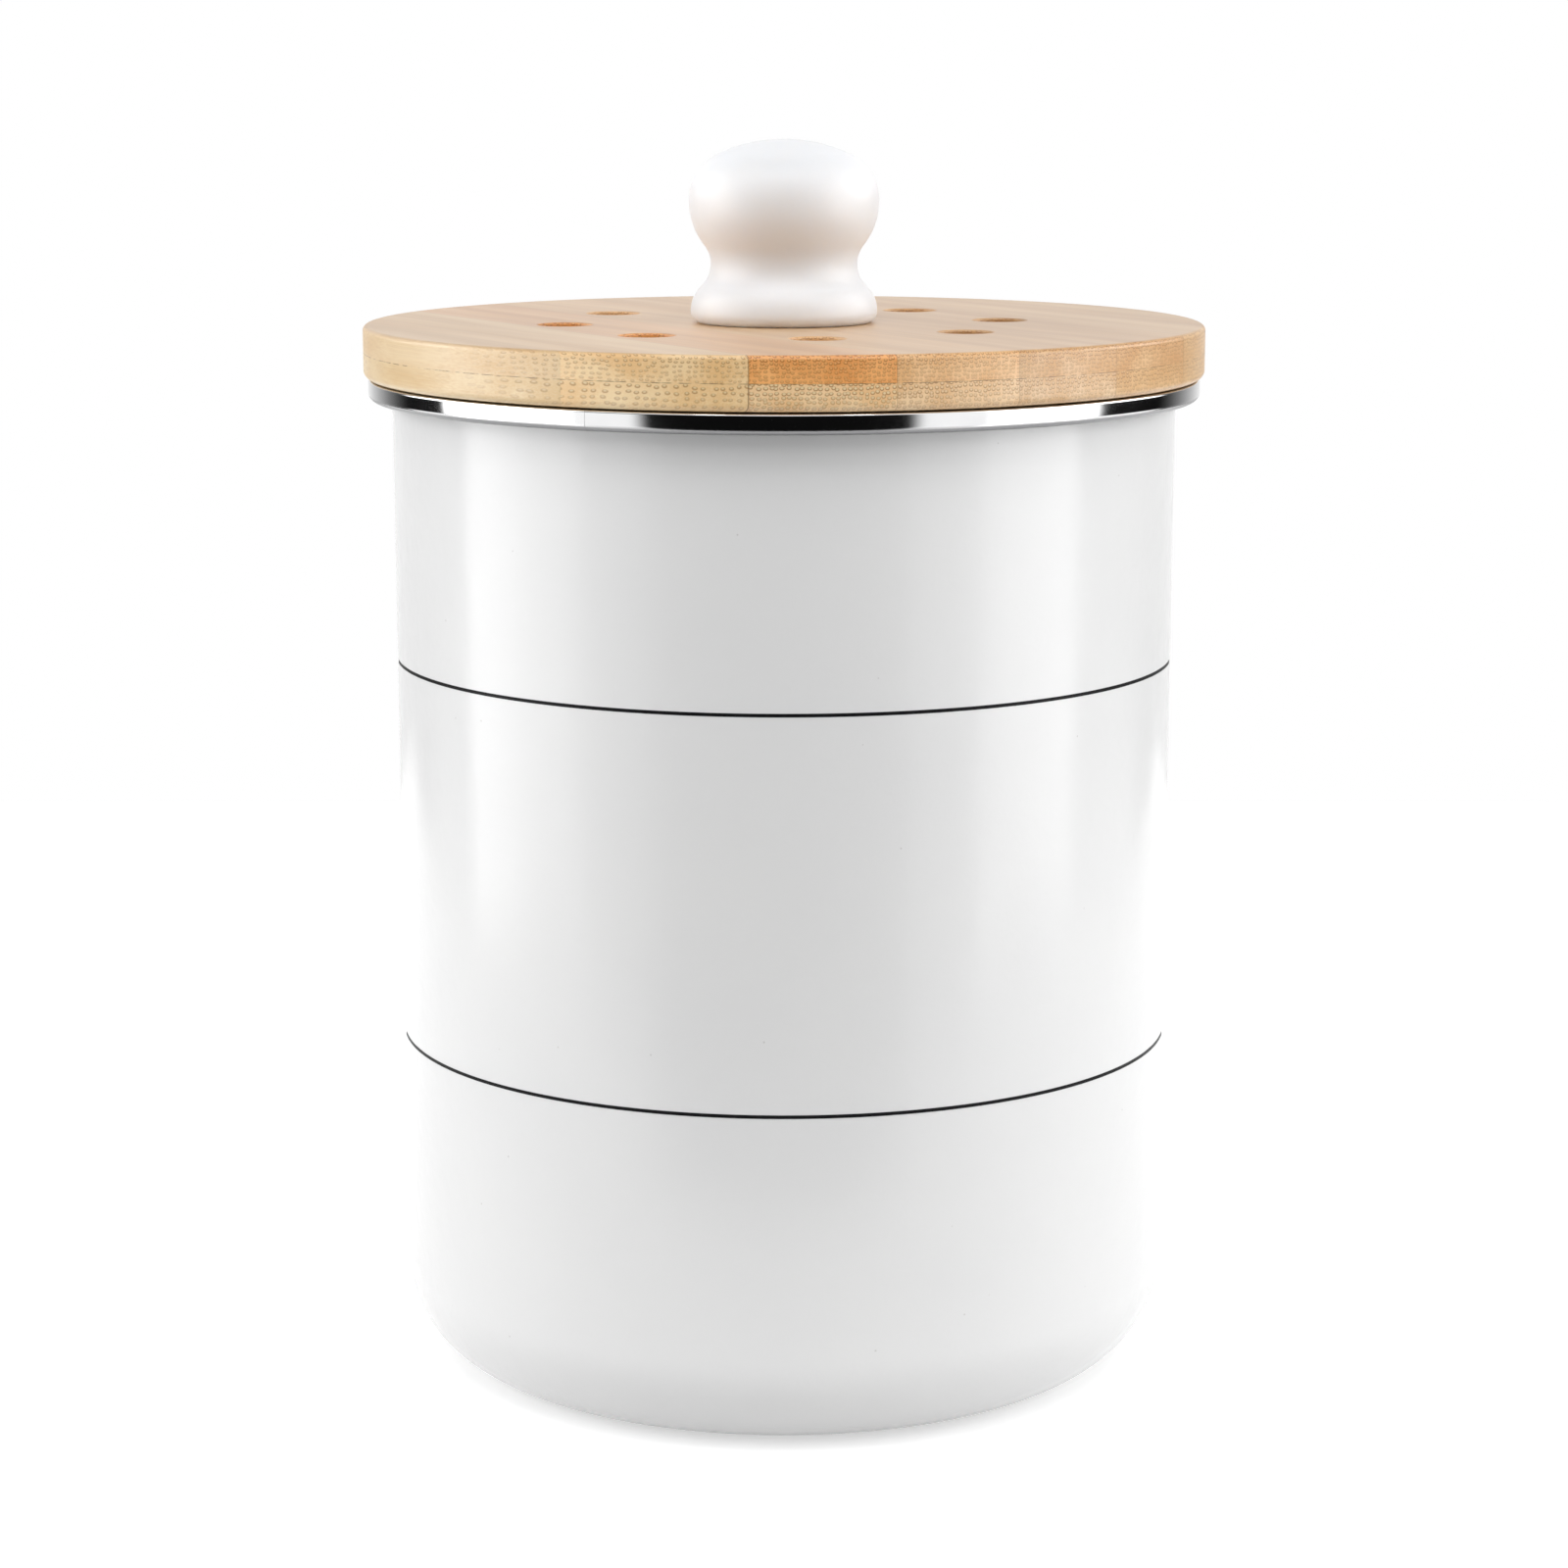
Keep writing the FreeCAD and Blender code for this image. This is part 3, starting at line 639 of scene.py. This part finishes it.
def vent_cutters(bottom, top, flare_top):
    """Round cutters for the vents of one ply, with a small rounded rim at the ply's outer face."""
    low, high = bottom - CUT_SPILL, top + CUT_SPILL
    cutters = []
    for number in range(VENT_COUNT):
        turn = math.radians(VENT_ANGLE + 360 / VENT_COUNT * number)
        about = (VENT_CIRCLE * math.cos(turn), VENT_CIRCLE * math.sin(turn))
        wide = VENT_RADIUS + VENT_ROUND
        if flare_top:
            rim = arc((wide, top - VENT_ROUND), VENT_ROUND, 180, 100, 5)
            outline = [(0, low), (VENT_RADIUS, low)] + rim + [(wide, high), (0, high)]
        else:
            rim = arc((wide, bottom + VENT_ROUND), VENT_ROUND, 260, 180, 5)
            outline = [(0, low), (wide, low)] + rim + [(VENT_RADIUS, high), (0, high)]
        cutters.append(lathe(f"vent_cutter_{number}", outline, VENT_TURNS, about=about))
    return joined("vent_cutters", cutters)


def ply_outline(upper):
    """Section of one ply from its centre hole to its rounded outer edge."""
    if upper:
        rim = arc((LID_RADIUS - TOP_ROUND, LID_TOP - TOP_ROUND), TOP_ROUND, 0, 90, 8)
        return [(SCREW_HOLE, PLY_JOINT), (LID_RADIUS, PLY_JOINT)] + rim + [(SCREW_HOLE, LID_TOP)]
    rim = arc((LID_RADIUS - BOTTOM_ROUND, LID_UNDER + BOTTOM_ROUND), BOTTOM_ROUND, -90, 0, 8)
    return ([(COUNTERBORE, LID_UNDER)] + rim + [(LID_RADIUS, PLY_JOINT), (SCREW_HOLE, PLY_JOINT),
            (SCREW_HOLE, COUNTERBORE_TOP), (COUNTERBORE, COUNTERBORE_TOP)])


# The looks of each strip: its light and dark colours, the spacing and swell of its bundles, the strength of
# its dots and the strengths of its two glue lines
STRIP_LOOKS = {
    "upper_strip_left_4": ((236, 213, 173), (222, 185, 131), 1.05, 0.24, 0.7, (0.0, 0.06)),
    "upper_strip_left_3": ((248, 221, 174), (235, 193, 134), 0.95, 0.27, 0.8, (0.06, 0.5)),
    "upper_strip_left_2": ((250, 188, 118), (230, 156, 84), 0.85, 0.36, 1.0, (0.5, 0.3)),
    "upper_strip_left_1": ((244, 205, 154), (228, 177, 118), 0.82, 0.36, 0.95, (0.3, 0.35)),
    "upper_strip_right_1": ((226, 190, 144), (209, 160, 104), 0.82, 0.36, 0.9, (0.35, 0.3)),
    "upper_strip_right_2": ((224, 185, 135), (207, 157, 102), 0.82, 0.36, 0.9, (0.3, 0.35)),
    "upper_strip_right_3": ((227, 194, 148), (212, 168, 113), 0.85, 0.34, 0.85, (0.35, 0.25)),
    "upper_strip_right_4": ((225, 197, 151), (212, 172, 119), 0.85, 0.34, 0.85, (0.25, 0.0)),
    "lower_strip_left_4": ((238, 217, 176), (224, 190, 136), 1.4, 0.24, 0.7, (0.0, 0.06)),
    "lower_strip_left_3": ((250, 225, 180), (238, 199, 142), 1.3, 0.26, 0.8, (0.06, 0.65)),
    "lower_strip_left_2": ((252, 224, 180), (237, 194, 138), 0.98, 0.37, 1.0, (0.65, 0.3)),
    "lower_strip_left_1": ((245, 215, 172), (229, 187, 134), 0.98, 0.37, 0.95, (0.3, 0.35)),
    "lower_strip_right_1": ((230, 200, 158), (214, 171, 119), 0.92, 0.36, 0.9, (0.35, 0.3)),
    "lower_strip_right_2": ((226, 190, 140), (210, 164, 108), 0.92, 0.36, 0.9, (0.3, 0.35)),
    "lower_strip_right_3": ((227, 196, 150), (212, 170, 116), 0.95, 0.35, 0.85, (0.35, 0.25)),
    "lower_strip_right_4": ((229, 201, 155), (214, 176, 123), 0.95, 0.35, 0.85, (0.25, 0.0)),
}


def make_strips(ply, bottom, top, upper):
    """Cut one ply's disc into its strips, each with its own bamboo."""
    disc = lathe(f"{ply}_disc", ply_outline(upper), PLY_TURNS)
    cutters = vent_cutters(bottom, top, upper)
    drilled = combine(f"{ply}_drilled", disc, cutters, "DIFFERENCE")
    for number in range(1, STRIPS_PER_SIDE + 1):
        left = MIDDLE_SEAM - STRIP_WIDTH * number
        right = MIDDLE_SEAM + STRIP_WIDTH * (number - 1)
        for side, low in (("left", left), ("right", right)):
            node = f"{ply}_strip_{side}_{number}"
            edges = (low, low + STRIP_WIDTH)
            box = slab(f"{node}_slab", *edges, bottom - CUT_SPILL, top + CUT_SPILL)
            strip = combine(f"bamboo_{ply}_{side}_{number}", drilled, box, "INTERSECT")
            bpy.data.objects.remove(box)
            even = strip.modifiers.new("even_normals", "WEIGHTED_NORMAL")
            even.keep_sharp = True
            light, dark, pitch, swell, dots, seams = STRIP_LOOKS[node]
            wood = bamboo_material(f"bamboo_{ply}_{side}_{number}", colour(*light), colour(*dark), bottom,
                                   pitch, swell, dots, seams, edges)
            settle(strip, wood, "lid", "bamboo", node)
    for piece in (disc, cutters, drilled):
        bpy.data.objects.remove(piece)


make_strips("upper", PLY_JOINT, LID_TOP, True)
make_strips("lower", LID_UNDER, PLY_JOINT, False)


# Knob

def touching_curve(across, up, given):
    """Radius of an arc that meets a given opposite arc smoothly, each upright at its own end."""
    return (across * across + up * up) / (2 * across) - given


def heading(centre, point):
    """Direction from a centre to a point, in degrees."""
    return math.degrees(math.atan2(point[1] - centre[1], point[0] - centre[0]))


def knob_outline():
    """The knob's outline: a rounded foot, a waist and a broad head, all smooth arcs."""
    base = LID_TOP + KNOB_BASE_LEVEL
    neck = LID_TOP + KNOB_NECK_LEVEL
    top = LID_TOP + KNOB_HEIGHT
    head = top - KNOB_CROWN_RISE - KNOB_SHOULDER
    foot = touching_curve(KNOB_BASE_RADIUS - KNOB_NECK_RADIUS, neck - base, KNOB_NECK_CURVE)
    cheek = touching_curve(KNOB_HEAD_RADIUS - KNOB_NECK_RADIUS, head - neck, KNOB_NECK_CURVE)
    reach = KNOB_HEAD_RADIUS - KNOB_SHOULDER
    crown = (reach * reach + KNOB_CROWN_RISE ** 2) / (2 * KNOB_CROWN_RISE) + KNOB_SHOULDER
    foot_centre = (KNOB_BASE_RADIUS - foot, base)
    neck_centre = (KNOB_NECK_RADIUS + KNOB_NECK_CURVE, neck)
    cheek_centre = (KNOB_HEAD_RADIUS - cheek, head)
    shoulder_centre = (reach, head)
    crown_centre = (0.0, top - crown)
    to_neck = heading(foot_centre, neck_centre)
    to_cheek = heading(cheek_centre, neck_centre)
    to_crown = heading(crown_centre, shoulder_centre)
    outline = [(0, LID_TOP + KNOB_HOLE_DEPTH), (KNOB_HOLE_RADIUS, LID_TOP + KNOB_HOLE_DEPTH)]
    outline += [(KNOB_HOLE_RADIUS, LID_TOP)]
    outline += arc((KNOB_BASE_RADIUS - KNOB_BASE_LEVEL, base), KNOB_BASE_LEVEL, -90, 0, 12)
    outline += arc(foot_centre, foot, 0, to_neck, 16)[1:]
    outline += arc(neck_centre, KNOB_NECK_CURVE, to_neck + 180, to_cheek + 180, 16)[1:]
    outline += arc(cheek_centre, cheek, to_cheek, 0, 16)[1:]
    outline += arc(shoulder_centre, KNOB_SHOULDER, 0, to_crown, 20)[1:]
    outline += arc(crown_centre, crown, to_crown, 90, 14)[1:-1]
    return outline + [(0, top)]


knob = lathe("glazed_knob", knob_outline(), KNOB_TURNS)
settle(knob, glaze_material(), "lid", "glaze", "knob")


# Filter pad

def make_pad():
    """Felt disc with soft edges and a slightly uneven surface."""
    top_centre, bottom_centre = (0, PAD_TOP), (0, PAD_BOTTOM)
    edge = PAD_RADIUS - PAD_ROUND
    outline = [bottom_centre] + run(bottom_centre, (edge, PAD_BOTTOM), PAD_RINGS)
    outline += arc((edge, PAD_BOTTOM + PAD_ROUND), PAD_ROUND, -90, 0, 6)[1:]
    outline += arc((edge, PAD_TOP - PAD_ROUND), PAD_ROUND, 0, 90, 6)
    outline += run((edge, PAD_TOP), top_centre, PAD_RINGS)
    pad = lathe("carbon_pad", outline, PAD_TURNS)
    middle = (PAD_TOP + PAD_BOTTOM) / 2 * MM
    for vertex in pad.data.vertices:
        spot = vertex.co / MM
        dent = 0.5 + 0.5 * noise.noise(spot * PAD_BROAD_WAVES) + 0.25 * noise.noise(spot * PAD_FINE_WAVES)
        side = 1 if vertex.co.z > middle else -1
        vertex.co.z -= side * PAD_DENT * max(0.0, dent) * MM
    return pad


pad = make_pad()
settle(pad, felt_material(), "filter", "carbon_felt", "filter_pad")


# Pieces that keep their CAD shape
plug_wood = bamboo_material("bamboo_plug", colour(238, 206, 156), colour(220, 174, 116),
                            LID_UNDER - PLUG_DEPTH, pitch=1.2, swell=0.34, dots=0.8)
zinc = turned_metal_material("zinc_steel", (0.50, 0.50, 0.52, 1), (0.62, 0.62, 0.63, 1), 0.25)
brass = turned_metal_material("turned_brass", (0.62, 0.43, 0.16, 1), (0.74, 0.55, 0.24, 1), 0.22)
for node, material in {
    "lid_plug": plug_wood,
    "seal_ring": silicone_material(),
    "filter_tray": plastic_material(),
    "knob_insert": brass,
    "knob_screw": zinc,
    "knob_washer": zinc,
}.items():
    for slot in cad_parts[node].material_slots:
        slot.material = material


# Studio

FLOOR_GREY = 0.68
FLOOR_GLOW = 0.55
FLOOR_FRONT = -240.0
FLOOR_BACK = 600.0
FLOOR_SIDE = 500.0
FLOOR_DROP = 0.2


def floor_material():
    """White sweep that the camera and reflections see as white, with the object's shadow on it."""
    material = bpy.data.materials.new("studio_floor")
    material.use_nodes = True
    nodes = Nodes(material.node_tree)
    diffuse = nodes.add("ShaderNodeBsdfDiffuse")
    diffuse.inputs["Color"].default_value = (FLOOR_GREY, FLOOR_GREY, FLOOR_GREY, 1)
    glow = nodes.add("ShaderNodeEmission")
    rays = nodes.add("ShaderNodeLightPath")
    mirrored = nodes.math("MAXIMUM", rays.outputs["Is Glossy Ray"], rays.outputs["Is Transmission Ray"])
    seen = nodes.math("MAXIMUM", rays.outputs["Is Camera Ray"], mirrored)
    nodes.join(nodes.math("MULTIPLY", seen, FLOOR_GLOW), glow.inputs["Strength"])
    both = nodes.add("ShaderNodeAddShader")
    nodes.join(diffuse.outputs[0], both.inputs[0])
    nodes.join(glow.outputs[0], both.inputs[1])
    output = nodes.add("ShaderNodeOutputMaterial")
    nodes.join(both.outputs[0], output.inputs[0])
    return material


def make_floor():
    """A plain sheet just below the base."""
    mesh = bpy.data.meshes.new("studio_floor")
    front, back, side = FLOOR_FRONT * MM, FLOOR_BACK * MM, FLOOR_SIDE * MM
    corners = [(-side, front, 0), (side, front, 0), (side, back, 0), (-side, back, 0)]
    mesh.from_pydata(corners, [], [(0, 1, 2, 3)])
    floor = bpy.data.objects.new("studio_floor", mesh)
    bpy.context.scene.collection.objects.link(floor)
    floor.location.z = -FLOOR_DROP * MM
    mesh.materials.append(floor_material())


# The studio's light by direction. Azimuth counts from the front, right positive, and elevation from the
# level. A panel is its strength, then the start, end and softness of its azimuth and of its elevation.
ROOM_LEVEL = 0.004
BACK_LEVEL = 0.9
BACK_START = 122.0
BACK_FULL = 172.0
ZENITH_LEVEL = 0.15
ZENITH_START = 76.0
ZENITH_SOFT = 10.0
PANELS = (
    (1.0, (-65.0, 65.0, 8.0), (25.0, 56.0, 4.0)),
    (1.05, (-60.0, -39.0, 3.0), (-90.0, 8.0, 3.0)),
    (1.05, (36.0, 58.0, 3.0), (-90.0, 36.0, 3.0)),
    (2.65, (-104.0, -60.0, 3.0), (-90.0, 36.0, 3.0)),
    (3.3, (-104.0, -82.0, 3.0), (-90.0, 36.0, 3.0)),
    (2.9, (58.0, 94.0, 3.0), (-90.0, 36.0, 3.0)),
    (3.0, (-126.0, -104.0, 3.0), (2.0, 36.0, 2.0)),
    (1.2, (-126.0, -104.0, 3.0), (-90.0, -11.0, 2.0)),
    (3.1, (94.0, 126.0, 3.0), (2.0, 36.0, 2.0)),
    (1.3, (94.0, 126.0, 3.0), (-90.0, -11.0, 2.0)),
    (2.8, (-70.0, 70.0, 6.0), (56.0, 76.0, 4.0)),
    (15.0, (-32.0, -24.0, 1.5), (52.0, 61.0, 1.5)),
    (15.0, (24.0, 32.0, 1.5), (52.0, 61.0, 1.5)),
)


def make_world():
    """White to the camera. To the object, a studio with panels at its sides and above, and a dark front."""
    world = bpy.data.worlds.new("studio")
    bpy.context.scene.world = world
    world.use_nodes = True
    nodes = Nodes(world.node_tree)
    place = nodes.add("ShaderNodeTexCoord")
    x, y, z = nodes.split(place.outputs["Generated"])
    radian = math.degrees(1.0)
    ahead = nodes.math("MULTIPLY", y, -1.0)
    azimuth = nodes.math("MULTIPLY", nodes.math("ARCTAN2", x, ahead), radian)
    elevation = nodes.math("MULTIPLY", nodes.math("ARCSINE", z), radian)

    def window(value, low, high, soft):
        """1 between two limits and 0 outside them, with soft ends."""
        rise = nodes.ramp(value, low - soft, low + soft)
        fall = nodes.ramp(value, high - soft, high + soft, 1.0, 0.0)
        return nodes.math("MULTIPLY", rise, fall)

    def over(below, level, mask):
        """A level laid over what is below it, where the mask is 1."""
        kept = nodes.math("MULTIPLY", below, nodes.math("SUBTRACT", 1.0, mask))
        return nodes.math("ADD", kept, nodes.math("MULTIPLY", mask, level))

    turned = nodes.math("ABSOLUTE", azimuth)
    light = nodes.ramp(turned, BACK_START, BACK_FULL, ROOM_LEVEL, BACK_LEVEL)
    overhead = nodes.ramp(elevation, ZENITH_START - ZENITH_SOFT, ZENITH_START + ZENITH_SOFT)
    light = over(light, ZENITH_LEVEL, overhead)
    for level, around, above in PANELS:
        mask = nodes.math("MULTIPLY", window(azimuth, *around), window(elevation, *above))
        light = over(light, level, mask)

    rays = nodes.add("ShaderNodeLightPath")
    seen = nodes.math("MAXIMUM", rays.outputs["Is Camera Ray"], rays.outputs["Is Transmission Ray"])
    strength = nodes.math("ADD", nodes.math("MULTIPLY", light, nodes.math("SUBTRACT", 1.0, seen)), seen)
    background = nodes.add("ShaderNodeBackground")
    background.inputs["Color"].default_value = (1.0, 1.0, 1.0, 1.0)
    nodes.join(strength, background.inputs["Strength"])
    output = nodes.add("ShaderNodeOutputWorld")
    nodes.join(background.outputs[0], output.inputs[0])


SENSOR_WIDTH = 36.0
LENS = 91.706
CAMERA_DISTANCE = 813.16
CAMERA_HEIGHT = 272.06
CAMERA_TILT = 10.644
CLIP_START = 10.0


def make_camera():
    """Camera at the photograph's place and angle, for a square frame."""
    camera = bpy.data.cameras.new("camera")
    camera.sensor_fit = "HORIZONTAL"
    camera.sensor_width = SENSOR_WIDTH
    camera.lens = LENS
    camera.clip_start = CLIP_START * MM
    holder = bpy.data.objects.new("camera", camera)
    bpy.context.scene.collection.objects.link(holder)
    holder.location = (0.0, -CAMERA_DISTANCE * MM, CAMERA_HEIGHT * MM)
    holder.rotation_euler = Euler((math.radians(90 - CAMERA_TILT), 0.0, 0.0))
    bpy.context.scene.camera = holder


make_floor()
make_world()
make_camera()
bpy.context.scene.view_settings.view_transform = "Standard"

bpy.context.view_layer.update()
